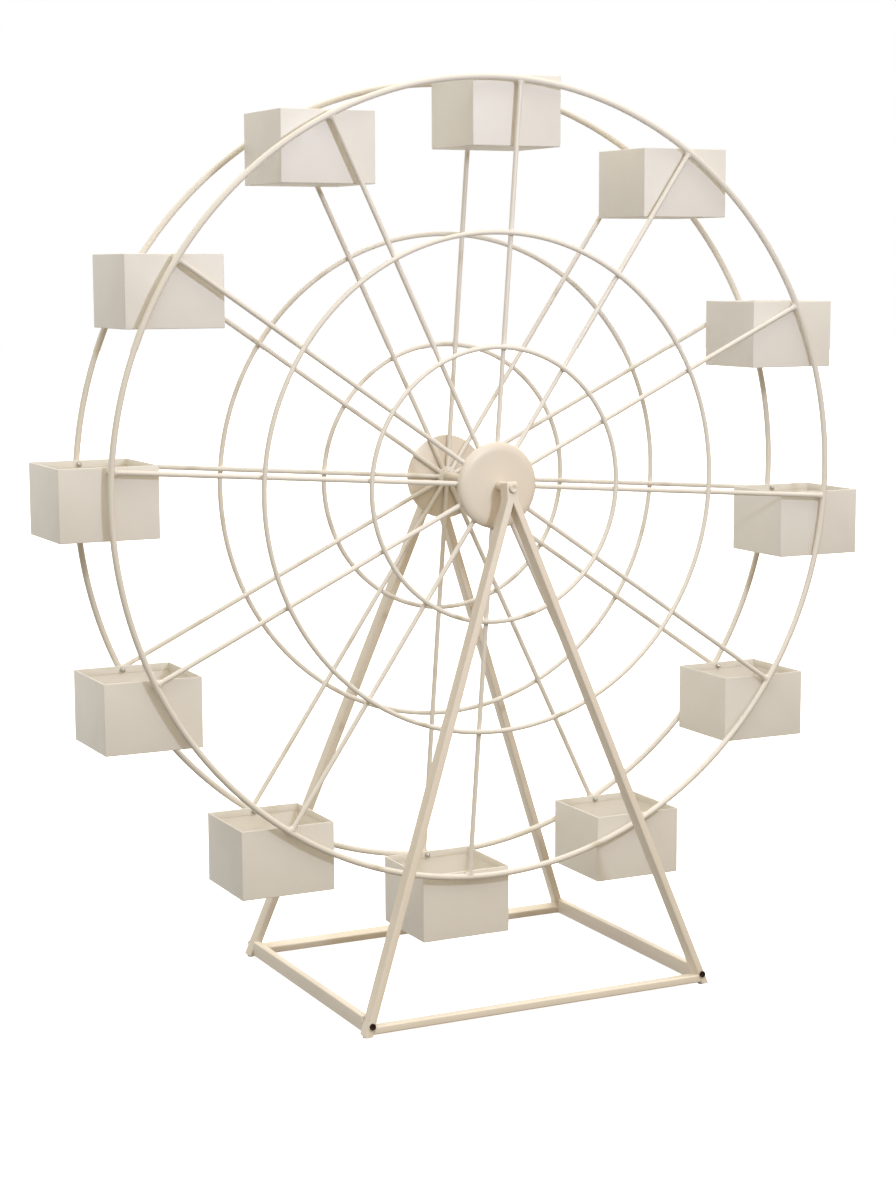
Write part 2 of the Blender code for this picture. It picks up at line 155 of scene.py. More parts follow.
# The Mix node's inputs 6 and 7 are its two colours, and its output 2 is the mixed one
def powderCoat(look):
    material, tree, place = newMaterial(look["name"])
    clouds, waves, peel = [
        addNode(tree, "ShaderNodeTexNoise", {"Scale": 1000 / look[size], "Detail": detail},
                {"Vector": place})
        for size, detail in (("toneMm", 3.0), ("waveMm", 1.0), ("peelMm", 2.0))]
    tone = addNode(tree, "ShaderNodeMix", {"data_type": "RGBA", 6: paintColor(look["color"]),
                                           7: paintColor(look["deepColor"])},
                   {0: clouds.outputs[0]})
    uneven = addNode(tree, "ShaderNodeBump", {"Distance": look["waveHeightMm"] / 1000},
                     {"Height": waves.outputs[0]})
    skin = addNode(tree, "ShaderNodeBump", {"Distance": look["peelHeightMm"] / 1000},
                   {"Height": peel.outputs[0], "Normal": uneven.outputs[0]})
    smooth, rough = look["roughness"]
    gloss = addNode(tree, "ShaderNodeMapRange", {"To Min": smooth, "To Max": rough},
                    {"Value": clouds.outputs[0]})
    shader = addNode(tree, "ShaderNodeBsdfPrincipled", {"IOR": 1.5},
                     {"Base Color": tone.outputs[2], "Roughness": gloss.outputs[0],
                      "Normal": skin.outputs[0]})
    addNode(tree, "ShaderNodeOutputMaterial", {}, {"Surface": shader.outputs[0]})
    return material


# Bare fasteners: bright zinc plate with a faint crystal mottle, and blackened steel with an
# oily dark film. Feet: dull moulded rubber.
fastenerLooks = {
    "zinc": {"name": "zincPlatedSteel", "color": "#CFCBC2", "deepColor": "#A9A59C",
             "grainMm": 1.5, "heightMm": 0.01, "metallic": 1.0, "roughness": 0.30},
    "black": {"name": "blackOxideSteel", "color": "#54473A", "deepColor": "#2E261F",
              "grainMm": 2.0, "heightMm": 0.01, "metallic": 1.0, "roughness": 0.50},
    "rubber": {"name": "blackMouldedRubber", "color": "#1D1B1A", "deepColor": "#121110",
               "grainMm": 1.0, "heightMm": 0.03, "metallic": 0.0, "roughness": 0.80},
}


def grainedFinish(look):
    material, tree, place = newMaterial(look["name"])
    grain = addNode(tree, "ShaderNodeTexNoise", {"Scale": 1000 / look["grainMm"], "Detail": 3.0},
                    {"Vector": place})
    tone = addNode(tree, "ShaderNodeMix", {"data_type": "RGBA", 6: paintColor(look["color"]),
                                           7: paintColor(look["deepColor"])},
                   {0: grain.outputs[0]})
    skin = addNode(tree, "ShaderNodeBump", {"Distance": look["heightMm"] / 1000},
                   {"Height": grain.outputs[0]})
    shader = addNode(tree, "ShaderNodeBsdfPrincipled",
                     {"Metallic": look["metallic"], "Roughness": look["roughness"]},
                     {"Base Color": tone.outputs[2], "Normal": skin.outputs[0]})
    addNode(tree, "ShaderNodeOutputMaterial", {}, {"Surface": shader.outputs[0]})
    return material


rodFinish = powderCoat(rodCoat)
# the thin rods' finish is the paler copy of the coat, with painted light
thinRodFinishWithPaintedLight = powderCoat(thinRodCoatWithPaintedLight)
sheetFinish = powderCoat(sheetCoat)
zincFinish = grainedFinish(fastenerLooks["zinc"])
blackFinish = grainedFinish(fastenerLooks["black"])
rubberFinish = grainedFinish(fastenerLooks["rubber"])
print("materials made")


# Mesh making

def loft(bm, rings, ends="caps", beads=None):
    rows = [[bm.verts.new(point) for point in ring] for ring in rings]
    pairs = list(zip(rows, rows[1:]))
    if ends == "loop":
        pairs.append((rows[-1], rows[0]))
    count = len(rows[0])
    for row, following in pairs:
        for i in range(count):
            j = (i + 1) % count
            bm.faces.new((row[i], row[j], following[j], following[i]))
    if ends == "caps":
        bm.faces.new(rows[0][::-1])
        bm.faces.new(rows[-1])
    if beads:
        layer = bm.verts.layers.float["bead"]
        for row, bead in zip(rows, beads):
            for vert in row:
                vert[layer] = bead


# Rings of a piece turned about an axis, from (radius, along) points. A third number makes that
# ring a polygon with as many corners, such as 6 for a hexagon socket.
def turnedRings(profile, center, axis, steps):
    across = axis.orthogonal().normalized()
    beside = axis.cross(across)
    rings = []
    for radius, along, *corners in profile:
        ring = []
        for i in range(steps):
            angle = math.tau * i / steps
            reach = radius
            if corners:
                part = math.tau / corners[0]
                reach *= math.cos(part / 2) / math.cos(angle % part - part / 2)
            outwards = across * math.cos(angle) + beside * math.sin(angle)
            ring.append(center + axis * along + outwards * reach)
        rings.append(ring)
    return rings


def arc(centerRadius, centerAlong, halfWide, halfDeep, start, end, steps):
    angles = [math.radians(start + (end - start) * i / steps) for i in range(steps + 1)]
    return [(centerRadius + halfWide * math.cos(a), centerAlong + halfDeep * math.sin(a))
            for a in angles]


def roundedRectangle(halfWide, halfDeep, radius, steps):
    points = []
    for quarter, (x, y) in enumerate(((1, 1), (-1, 1), (-1, -1), (1, -1))):
        for i in range(steps + 1):
            angle = math.pi / 2 * (quarter + i / steps)
            points.append((x * (halfWide - radius) + radius * math.cos(angle),
                           y * (halfDeep - radius) + radius * math.sin(angle)))
    return points


def trim(bm, point, normal):
    cut = bmesh.ops.bisect_plane(bm, geom=bm.verts[:] + bm.edges[:] + bm.faces[:],
                                 plane_co=point, plane_no=normal, clear_outer=True)
    edges = [edge for edge in cut["geom_cut"] if isinstance(edge, bmesh.types.BMEdge)]
    bmesh.ops.contextual_create(bm, geom=edges)


def plainMesh(bm, name):
    mesh = bpy.data.meshes.new(name)
    bm.to_mesh(mesh)
    bm.free()
    return mesh


def smoothed(mesh):
    mesh.shade_smooth()
    mesh.set_sharp_from_angle(angle=sharpAngle)
    return mesh


def finishedMesh(bm, name):
    bmesh.ops.remove_doubles(bm, verts=bm.verts, dist=mergeDistance)
    bmesh.ops.recalc_face_normals(bm, faces=bm.faces)
    return smoothed(plainMesh(bm, name))


def turnedMesh(name, profile, center, axis, steps, ends="caps"):
    bm = bmesh.new()
    loft(bm, turnedRings(profile, center, axis, steps), ends)
    return finishedMesh(bm, name)


def newObject(name, data):
    obj = bpy.data.objects.new(name, data)
    bpy.context.scene.collection.objects.link(obj)
    return obj


def addPiece(name, mesh, body, finish, standsFor=()):
    mesh.name = name
    mesh.materials.clear()
    mesh.materials.append(finish)
    piece = newObject(name, mesh)
    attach(piece, body)
    if standsFor:
        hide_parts(*standsFor)


def evaluatedMesh(obj):
    bpy.context.view_layer.update()
    evaluated = obj.evaluated_get(bpy.context.evaluated_depsgraph_get())
    return bpy.data.meshes.new_from_object(evaluated)


def withHole(mesh, drillMesh):
    body, drill = newObject("undrilled", mesh), newObject("drill", drillMesh)
    cut = body.modifiers.new("hole", "BOOLEAN")
    cut.operation = "DIFFERENCE"
    cut.solver = "EXACT"
    cut.object = drill
    result = evaluatedMesh(body)
    for obj in (body, drill):
        bpy.data.objects.remove(obj)
    return smoothed(result)


# Geometry Nodes trees

def newTree(name, inputs):
    tree = bpy.data.node_groups.new(name, "GeometryNodeTree")
    tree.interface.new_socket("Geometry", in_out="INPUT", socket_type="NodeSocketGeometry")
    for label, kind in inputs:
        tree.interface.new_socket(label, in_out="INPUT", socket_type="NodeSocket" + kind)
    tree.interface.new_socket("Geometry", in_out="OUTPUT", socket_type="NodeSocketGeometry")
    return tree, addNode(tree, "NodeGroupInput")


# Noise from -1 to 1 in lumps of the given size, so that no two welds are alike
def weldNoise(tree, given):
    fine = addNode(tree, "ShaderNodeMath", {"operation": "DIVIDE", 0: 1.0},
                   {1: given.outputs["Lump Size"]})
    noise = addNode(tree, "ShaderNodeTexNoise", {"Detail": 1.0}, {"Scale": fine.outputs[0]})
    return addNode(tree, "ShaderNodeMath", {"operation": "MULTIPLY_ADD", 1: 2.0, 2: -1.0},
                   {0: noise.outputs[0]})


def endTree(tree, given, shape):
    whole = addNode(tree, "GeometryNodeRealizeInstances", {}, {"Geometry": shape.outputs[0]})
    painted = addNode(tree, "GeometryNodeSetMaterial", {},
                      {"Geometry": whole.outputs[0], "Material": given.outputs["Material"]})
    addNode(tree, "NodeGroupOutput", {}, {0: painted.outputs[0]})


# Repeats one station of the wheel round the axle. Where it is a ring, a rod is bent round as well.
# Points with a bead value are weld, and are pushed in and out by the noise.
def wheelTree(name, withRing):
    tree, given = newTree(name, [
        ("Count", "Int"), ("Turn", "Float"), ("Axle", "Vector"), ("Plane", "Float"),
        ("Ring Radius", "Float"), ("Ring Steps", "Int"), ("Rod Radius", "Float"),
        ("Rod Sides", "Int"), ("Lump Size", "Float"), ("Lump Height", "Float"),
        ("Material", "Material")])
    index = addNode(tree, "GeometryNodeInputIndex")
    part = addNode(tree, "ShaderNodeMath", {"operation": "DIVIDE", 0: math.tau},
                   {1: given.outputs["Count"]})
    angle = addNode(tree, "ShaderNodeMath", {"operation": "MULTIPLY_ADD"},
                    {0: index.outputs[0], 1: part.outputs[0], 2: given.outputs["Turn"]})
    angles = addNode(tree, "ShaderNodeCombineXYZ", {}, {"Y": angle.outputs[0]})
    turn = addNode(tree, "FunctionNodeEulerToRotation", {}, {0: angles.outputs[0]})
    points = addNode(tree, "GeometryNodePoints", {}, {"Count": given.outputs["Count"]})
    copies = addNode(tree, "GeometryNodeInstanceOnPoints", {},
                     {"Points": points.outputs[0], "Instance": given.outputs["Geometry"],
                      "Rotation": turn.outputs[0]})
    shape = addNode(tree, "GeometryNodeRealizeInstances", {}, {"Geometry": copies.outputs[0]})
    if withRing:
        circle = addNode(tree, "GeometryNodeCurvePrimitiveCircle", {},
                         {"Resolution": given.outputs["Ring Steps"],
                          "Radius": given.outputs["Ring Radius"]})
        plane = addNode(tree, "ShaderNodeCombineXYZ", {}, {"Y": given.outputs["Plane"]})
        upright = addNode(tree, "GeometryNodeTransform", {"Rotation": (math.pi / 2, 0, 0)},
                          {"Geometry": circle.outputs[0], "Translation": plane.outputs[0]})
        section = addNode(tree, "GeometryNodeCurvePrimitiveCircle", {},
                          {"Resolution": given.outputs["Rod Sides"],
                           "Radius": given.outputs["Rod Radius"]})
        rod = addNode(tree, "GeometryNodeCurveToMesh", {},
                      {"Curve": upright.outputs[0], "Profile Curve": section.outputs[0]})
        both = addNode(tree, "GeometryNodeJoinGeometry", {}, {0: rod.outputs[0]})
        tree.links.new(shape.outputs[0], both.inputs[0])
        shape = both
    bead = addNode(tree, "GeometryNodeInputNamedAttribute", {"data_type": "FLOAT", "Name": "bead"})
    height = addNode(tree, "ShaderNodeMath", {"operation": "MULTIPLY"},
                     {0: weldNoise(tree, given).outputs[0], 1: given.outputs["Lump Height"]})
    onBeads = addNode(tree, "ShaderNodeMath", {"operation": "MULTIPLY"},
                      {0: height.outputs[0], 1: bead.outputs[0]})
    normal = addNode(tree, "GeometryNodeInputNormal")
    push = addNode(tree, "ShaderNodeVectorMath", {"operation": "SCALE"},
                   {0: normal.outputs[0], "Scale": onBeads.outputs[0]})
    lumpy = addNode(tree, "GeometryNodeSetPosition", {},
                    {"Geometry": shape.outputs[0], "Offset": push.outputs[0]})
    placed = addNode(tree, "GeometryNodeTransform", {},
                     {"Geometry": lumpy.outputs[0], "Translation": given.outputs["Axle"]})
    endTree(tree, given, placed)
    return tree


# Lays an uneven bead of weld along the edges of a mesh
def seamTree():
    tree, given = newTree("weldAlongSeams", [
        ("Bead Radius", "Float"), ("Bead Sides", "Int"), ("Step", "Float"),
        ("Lump Size", "Float"), ("Unevenness", "Float"), ("Material", "Material")])
    path = addNode(tree, "GeometryNodeMeshToCurve", {}, {"Mesh": given.outputs["Geometry"]})
    even = addNode(tree, "GeometryNodeResampleCurve", {"mode": "LENGTH"},
                   {"Curve": path.outputs[0], "Length": given.outputs["Step"]})
    scale = addNode(tree, "ShaderNodeMath", {"operation": "MULTIPLY_ADD", 2: 1.0},
                    {0: weldNoise(tree, given).outputs[0], 1: given.outputs["Unevenness"]})
    section = addNode(tree, "GeometryNodeCurvePrimitiveCircle", {},
                      {"Resolution": given.outputs["Bead Sides"],
                       "Radius": given.outputs["Bead Radius"]})
    bead = addNode(tree, "GeometryNodeCurveToMesh", {"Fill Caps": True},
                   {"Curve": even.outputs[0], "Profile Curve": section.outputs[0],
                    "Scale": scale.outputs[0]})
    endTree(tree, given, bead)
    return tree


def madeWithNodes(name, start, tree, values):
    maker = newObject(name, start)
    modifier = maker.modifiers.new("nodes", "NODES")
    modifier.node_group = tree
    for socket in tree.interface.items_tree:
        if socket.in_out == "INPUT" and socket.name in values:
            modifier[socket.identifier] = values[socket.name]
    result = evaluatedMesh(maker)
    maker.modifiers.remove(modifier)
    bpy.data.objects.remove(maker)
    bm = bmesh.new()
    bm.from_mesh(result)
    bpy.data.meshes.remove(result)
    return finishedMesh(bm, name)


stationTree = wheelTree("repeatRoundAxle", False)
ringTree = wheelTree("weldedRing", True)
weldTree = seamTree()


# One station is drawn upright over the axle, before it is repeated. Its bead value says how
# much of a point is weld.
def newStation():
    bm = bmesh.new()
    bm.verts.layers.float.new("bead")
    return bm


def addLump(bm, center, halfSizes):
    made = bmesh.ops.create_icosphere(bm, subdivisions=2, radius=1.0)
    layer = bm.verts.layers.float["bead"]
    for vert in made["verts"]:
        vert.co = Vector(center) + Vector([a * b for a, b in zip(vert.co, halfSizes)])
        vert[layer] = 1.0


wheelWelds = {"lump": 0.004, "height": 0.0006}


def bentRod(look, plane, radius):
    return {"Plane": plane, "Ring Radius": radius, "Ring Steps": look["ringSteps"],
            "Rod Radius": look["rodRadius"], "Rod Sides": look["rodSides"]}


def roundAxle(name, station, finish, tree=stationTree, rod=None):
    values = {"Count": stations, "Turn": wheelTurn, "Axle": tuple(axle),
              "Lump Size": wheelWelds["lump"], "Lump Height": wheelWelds["height"],
              "Material": finish}
    values.update(rod or {})
    return madeWithNodes(name, station, tree, values)


# Where the wheel's parts are, from the solids
wallY = outermost("box_01")     # outside of a box's front and back walls
rimY = abs(middle("front_spokes").y)
ringY = abs(middle("front_middle_ring").y)
discEdgeY = innermost("front_hub_disc")
discFaceY = outermost("front_hub_disc")
discRadius = halfWidth("front_hub_disc")
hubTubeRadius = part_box("hub_tube")[1].x


# Rims: round rod with a short spacer welded on at each box
rimShape = {
    "rodRadius": 0.005,
    "ringSteps": 288,
    "rodSides": 20,
    "spacerRadius": 0.004,
    "spacerRound": 0.0006,
    "spacerSides": 20,
    # the weld round a spacer's foot: how far outside the spacer and over the rod's surface
    "fillet": ((0.0016, -0.0005), (0.0004, 0.0007), (0.0, 0.0016)),
    "lumpy": (0.3, 1, 1, 0.4, 0, 0),       # how much, from the rod's middle to the spacer's end
}


def makeRim(face, side):
    look = rimShape
    inwards = Vector((0, -side, 0))
    center = Vector((0, side * rimY, rimRadius))
    reach = rimY - wallY - gap
    spacer, rounded = look["spacerRadius"], look["spacerRound"]
    weld = [(spacer + outside, look["rodRadius"] + over) for outside, over in look["fillet"]]
    profile = [(weld[0][0], 0.0)] + weld + [(spacer, reach - rounded), (spacer - rounded, reach)]
    station = newStation()
    loft(station, turnedRings(profile, center, inwards, look["spacerSides"]), "caps",
         look["lumpy"])
    mesh = roundAxle(face + "Rim", plainMesh(station, "spacer"), thinRodFinishWithPaintedLight, ringTree,
                     bentRod(look, side * rimY, rimRadius))
    addPiece(face + "Rim", mesh, "wheel", thinRodFinishWithPaintedLight, [face + "_rim"])


# Zinc-plated domed nuts on the studs, inside the boxes
nutShape = {
    "studRadius": 0.0025,
    "studStart": -0.0006,        # outside the box's wall
    "start": 0.0023,             # just inside the two sheets of the hem
    "cornerRadius": 0.0042,
    "height": 0.004,
    "chamfer": 0.0004,
    "seat": 0.86,                # widths of the seat, shoulder and dome, as parts of the corners'
    "shoulder": 0.84,
    "domeWide": 0.80,
    "domeHigh": 0.003,
    "domeTurns": (0.12, 0.45, 0.8, 1.15, 1.4),
    "steps": 24,
}


def makeBoxNuts(face, side):
    look = nutShape
    inwards = Vector((0, -side, 0))
    center = Vector((0, side * wallY, rimRadius))
    start, corner, chamfer = look["start"], look["cornerRadius"], look["chamfer"]
    end = start + look["height"]
    profile = [
        (look["studRadius"], look["studStart"]), (look["studRadius"], start),
        (corner * look["seat"], start, 6), (corner, start + chamfer, 6),
        (corner, end - chamfer, 6), (corner * look["shoulder"], end)]
    profile += [(corner * look["domeWide"] * math.cos(a), end + look["domeHigh"] * math.sin(a))
                for a in look["domeTurns"]]
    station = newStation()
    loft(station, turnedRings(profile, center, inwards, look["steps"]))
    mesh = roundAxle(face + "BoxNuts", plainMesh(station, "nut"), zincFinish)
    addPiece(face + "BoxNuts", mesh, "wheel", zincFinish)


# Spokes: straight round rod from the hub tube to the rim, a little wider at its welds
spokeShape = {
    "rodRadius": 0.004,
    "rodSides": 20,
    "hubStart": 0.0085,          # inside the hub tube's wall
    "hubBead": 0.0048,
    "hubBeadLength": 0.006,
    "beadFall": 0.002,           # length over which the bead thins out,
    "beadEdge": 1.04,            # what is left of it there, as a part of the rod's thickness,
    "beadTail": 0.003,           # and how far that runs on
    "plainStart": 0.22,
    "plainStep": 0.04,
    "plainCount": 10,
    "flareLength": 0.0075,       # weld that widens a spoke where it meets the rim
    "flareWide": 0.0070,
    "flareDeep": 0.0046,
    "flareSteps": 7,
    "flarePower": 2.6,           # the higher, the more suddenly it widens
    "rimDepth": 0.0015,          # how far it runs into the rim
    "tack": (0.0034, 0.0020, 0.0030),      # lump where a spoke touches the hub disc's edge
    "tackIn": 0.0012,
    "rootLump": (0.0026, 0.0026, 0.0034),  # weld in the corner between two spokes at the hub
    "rootReach": 0.0046,                   # how far it is from the hub tube's side
    "rootDepths": (-0.0022, 0.0018),       # two lumps, inwards and outwards of the spokes
}


def makeSpokes(face, side):
    look = spokeShape
    thin, bead = look["rodRadius"], look["hubBead"]
    beadEnd = look["hubStart"] + look["hubBeadLength"]
    edge = thin * look["beadEdge"]
    # each section is a height, half width, half depth and how lumpy it is
    sections = [(look["hubStart"], bead, bead, 1), (beadEnd - look["beadFall"], bead, bead, 1),
                (beadEnd, edge, edge, 0.5), (beadEnd + look["beadTail"], thin, thin, 0)]
    sections += [(look["plainStart"] + look["plainStep"] * i, thin, thin, 0)
                 for i in range(look["plainCount"])]
    rimInside = rimRadius - rimShape["rodRadius"]
    for i in range(look["flareSteps"] + 1):
        part = i / look["flareSteps"]
        grow = part ** look["flarePower"]
        sections.append((rimInside - look["flareLength"] * (1 - part),
                         thin + (look["flareWide"] - thin) * grow,
                         thin + (look["flareDeep"] - thin) * grow, part))
    sections.append((rimInside + look["rimDepth"], look["flareWide"], look["flareDeep"], 0))
    turns = [math.tau * i / look["rodSides"] for i in range(look["rodSides"])]
    rings = [[Vector((halfWide * math.cos(a), side * rimY + halfDeep * math.sin(a), z))
              for a in turns] for z, halfWide, halfDeep, lumpy in sections]
    station = newStation()
    loft(station, rings, "caps", [section[3] for section in sections])
    addLump(station, (0, side * discEdgeY, discRadius - look["tackIn"]), look["tack"])
    root = hubTubeRadius + look["rootReach"]
    between = math.pi / stations    # half way to the next spoke
    for depth in look["rootDepths"]:
        addLump(station, (root * math.sin(between), side * rimY + depth, root * math.cos(between)),
                look["rootLump"])
    mesh = roundAxle(face + "Spokes", plainMesh(station, "spoke"), thinRodFinishWithPaintedLight)
    addPiece(face + "Spokes", mesh, "wheel", thinRodFinishWithPaintedLight, [face + "_spokes"])


# Middle and inner rings, bent from the same rod as the spokes and welded to their outer side
ringShape = {
    "rodRadius": 0.004,
    "ringSteps": 216,
    "rodSides": 18,
    "weld": (0.0052, 0.0026, 0.0052),      # lump where a ring crosses a spoke
}


def makeRing(face, side, which):
    look = ringShape
    node = face + "_" + which + "_ring"
    low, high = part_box(node)
    radius = (high.z - low.z) / 2 - look["rodRadius"]
    station = newStation()
    addLump(station, (0, side * (rimY + ringY) / 2, radius), look["weld"])
    name = face + which.capitalize() + "Ring"
    mesh = roundAxle(name, plainMesh(station, "ringWeld"), thinRodFinishWithPaintedLight, ringTree,
                     bentRod(look, side * ringY, radius))
    addPiece(name, mesh, "wheel", thinRodFinishWithPaintedLight, [node])


for face, side in faces:
    makeRim(face, side)
    makeBoxNuts(face, side)
    makeSpokes(face, side)
    makeRing(face, side, "middle")
    makeRing(face, side, "inner")
print("rims, spokes, rings and nuts made")


# Hub discs: shallow spun pans, closed by a flat plate that lies on the spokes
discShape = {
    "edgeWide": 0.016,
    "edgeDeep": 0.008,
    "edgeSteps": 14,
    "lip": 0.0008,
    "bore": 0.0053,
    "steps": 120,
}


def makeDisc(face, side):
    look = discShape
    depth = discFaceY - discEdgeY
    wide, deep = look["edgeWide"], look["edgeDeep"]
    lip = look["lip"]
    edge = arc(discRadius - wide, depth - deep, wide, deep, 90, 0, look["edgeSteps"])
    profile = [(look["bore"], depth)] + edge + [
        (discRadius, lip), (discRadius - lip * bend, lip * bend), (discRadius - lip, 0.0),
        (look["bore"], 0.0)]
    center = axle + Vector((0, side * discEdgeY, 0))
    mesh = turnedMesh(face + "HubDisc", profile, center, Vector((0, side, 0)), look["steps"],
                      "loop")
    addPiece(face + "HubDisc", mesh, "wheel", rodFinish, [face + "_hub_disc"])


# Tube between the two sides of the hub, which looks thicker where its welds are
hubTubeShape = {
    "weldLength": 0.012,         # from the disc to the plain tube
    "plainRadius": 0.0079,
    "steps": 48,
}


def makeHubTube():
    look = hubTubeShape
    bore = discShape["bore"]
    half = discEdgeY - gap
    plain = half - look["weldLength"]
    profile = [(bore, -half), (hubTubeRadius, -half), (look["plainRadius"], -plain),
               (look["plainRadius"], plain), (hubTubeRadius, half), (bore, half)]
    mesh = turnedMesh("hubTube", profile, axle, Vector((0, 1, 0)), look["steps"], "loop")
    addPiece("hubTube", mesh, "wheel", rodFinish, ["hub_tube"])


for face, side in faces:
    makeDisc(face, side)
makeHubTube()
print("hub made")


# Boxes: one sheet folded up at rounded edges, its top edge folded over into a hem
boxShape = {
    "wall": 0.001,
    "hem": 0.002,
    "hemHeight": 0.012,
    "hemSteps": 8,
    "hemEdgeWide": 0.0004,       # slope at the hem's cut edge
    "hemEdgeHigh": 0.0006,
    "hemEdgeDrop": 0.0001,       # how much lower the cut edge meets the wall
    "cornerRadius": 0.0016,
    "leastRadius": 0.0005,       # of the corners inside
    "bottomRadius": 0.0014,
    "cornerSteps": 5,
    "holeRadius": 0.003,
    "holeSteps": 24,
    "drillReach": 0.1,
}


def makeBoxMesh():
    look = boxShape
    low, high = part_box("box_01")
    pivot = jointPlace["box_01_swing"]
    halfWide, halfDeep = (high.x - low.x) / 2, (high.y - low.y) / 2
    bottom, top = low.z - pivot.z, high.z - pivot.z
    wall, hem, fold = look["wall"], look["hem"], look["bottomRadius"]
    steps, hemSteps = look["cornerSteps"], look["hemSteps"]

    def foldPoint(part, inwards):   # on the bottom's rounded edge
        angle = math.pi / 2 * part
        return (inwards + fold * (1 - math.sin(angle)),
                bottom + inwards + fold * (1 - math.cos(angle)))

    # inset and height, up the outside, over the hem and down the inside
    path = [foldPoint(i / steps, 0.0) for i in range(steps + 1)]
    for i in range(hemSteps + 1):
        angle = math.pi * i / hemSteps
        path.append((hem / 2 * (1 - math.cos(angle)), top - hem / 2 * (1 - math.sin(angle))))
    hemEnd = top - look["hemHeight"]
    path += [(hem, hemEnd + look["hemEdgeHigh"]), (hem - look["hemEdgeWide"], hemEnd),
             (wall, hemEnd - look["hemEdgeDrop"])]
    path += [foldPoint(1 - i / steps, wall) for i in range(steps + 1)]
    rings = []
    for inset, height in path:
        radius = max(look["cornerRadius"] - inset, look["leastRadius"])
        outline = roundedRectangle(halfWide - inset, halfDeep - inset, radius, steps)
        rings.append([Vector((x, y, height)) for x, y in outline])
    bm = bmesh.new()
    loft(bm, rings)
    reach = look["drillReach"]
    drill = turnedMesh("drill", [(look["holeRadius"], -reach), (look["holeRadius"], reach)],
                       Vector((0, 0, 0)), Vector((0, 1, 0)), look["holeSteps"])
    return withHole(finishedMesh(bm, "box"), drill)


boxMesh = makeBoxMesh()
for number in range(1, stations + 1):
    node = "box_%02d" % number
    mesh = boxMesh.copy()
    place = jointPlace[node + "_swing"]
    for vert in mesh.vertices:
        vert.co += Vector((place.x, 0, place.z))
    addPiece("box%02d" % number, mesh, node, sheetFinish, [node])
bpy.data.meshes.remove(boxMesh)
print("boxes made")


# Legs and bars of the stand: rectangular tube with rounded corners
tubeShape = {
    "narrow": 0.012,
    "broad": 0.025,
    "cornerRadius": 0.0022,
    "cornerSteps": 5,
    "apexDrop": 0.0095,          # the centre lines of a pair of legs meet this far under the axle
    "topY": 0.135,               # middle of the legs beside the axle
    "headHalf": 0.0099,          # the legs' tops are one plate round the axle, twice this wide
    "headRise": 0.0088,          # and this high over it
    "headRadius": 0.0040,
    "headSteps": 6,
    "seam": 0.00005,             # from the plate's middle to the edge of each half
    "baseRise": 0.0075,          # middle of the bottom bars over the underside of the legs
    "weldIn": 0.0001,            # bars run this far into the legs
    "footSpare": 0.025,          # cut off under the legs
    "baseUncut": 0.3,            # half the bars' lengths before their ends are cut
    "sideUncut": 0.25,
}
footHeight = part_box("front_left_foot")[1].z + gap


# A leg's foot, the way up it, out of its A-frame's plane, and outwards in that plane. A corner
# is a face and a side, such as front_left.
def legLine(corner, sideX, sideY):
    foot = middle(corner + "_foot")
    foot.z = footHeight
    lean = (abs(foot.y) - tubeShape["topY"]) / (axle.z - footHeight)
    drop = tubeShape["apexDrop"]
    apex = Vector((0, sideY * (tubeShape["topY"] + drop * lean), axle.z - drop))
    normal = Vector((0, sideY, lean)).normalized()
    along = (apex - foot).normalized()
    across = normal.cross(along)
    outwards = across if across.x * sideX > 0 else -across
    return foot, along, normal, outwards


def tubeBetween(bm, start, end, across, deep, halfAcross, halfDeep):
    outline = roundedRectangle(halfAcross, halfDeep, tubeShape["cornerRadius"],
                               tubeShape["cornerSteps"])
    loft(bm, [[center + across * x + deep * y for x, y in outline] for center in (start, end)])


# A leg with its half of the plate at the top, drawn in the leaning plane of the A-frame from the
# foot round to the joint in the middle
def makeLeg(corner, sideX, sideY):
    look = tubeShape
    foot, along, normal, _ = legLine(corner, sideX, sideY)
    upwards = (along - Vector((along.x, 0, 0))).normalized()
    half = look["narrow"] / 2 / along.dot(upwards)
    slope = abs(along.x) / along.dot(upwards)
    footX = abs(foot.x)
    seam, lowest = look["seam"], -look["footSpare"]
    meeting = footX / slope         # where the centre lines meet
    top = (axle.z + look["headRise"] - foot.z) / upwards.z
    wide, radius = look["headHalf"], look["headRadius"]
    outline = [(footX + half - slope * lowest, lowest), (wide, meeting - (wide - half) / slope)]
    outline += arc(wide - radius, top - radius, radius, radius, 0, 90, look["headSteps"])
    outline += [(seam, top), (seam, meeting - (seam + half) / slope),
                (footX - half - slope * lowest, lowest)]
    deep = look["broad"] / 2
    bm = bmesh.new()
    loft(bm, [[Vector((sideX * x, foot.y, foot.z)) + upwards * rise + normal * out
               for x, rise in outline] for out in (-deep, deep)])
    bmesh.ops.recalc_face_normals(bm, faces=bm.faces)
    longEdges = []
    for edge in bm.edges:
        a, b = [vert.co for vert in edge.verts]
        onSeam = max(abs(a.x), abs(b.x)) < seam * 2
        if abs((a - b).dot(normal)) < deep and not onSeam:
            longEdges.append(edge)
    bmesh.ops.bevel(bm, geom=longEdges, offset=look["cornerRadius"],
                    segments=look["cornerSteps"], profile=0.5, affect="EDGES",
                    clamp_overlap=True)
    trim(bm, Vector((0, 0, footHeight)), Vector((0, 0, -1)))
    # the bevel makes its points in no fixed order, so they are sorted along a slanting line
    slant = Vector((0.83, 0.47, 0.29))
    bm.verts.sort(key=lambda vert: vert.co.dot(slant))
    bm.faces.sort(key=lambda face: face.calc_center_median().dot(slant))
    addPiece(cornerName(corner, "Leg"), finishedMesh(bm, "leg"), "stand", rodFinish,
             [corner + "_leg"])


# Middle of an A-frame's bottom bar, which lies in the leaning plane of its legs
def baseBarLine(face, sideY):
    foot, along, normal, _ = legLine(face + "_right", 1, sideY)
    upwards = normal.cross(Vector((-sideY, 0, 0)))
    center = foot + along * (tubeShape["baseRise"] / along.z)
    return Vector((0, center.y, center.z)), normal, upwards


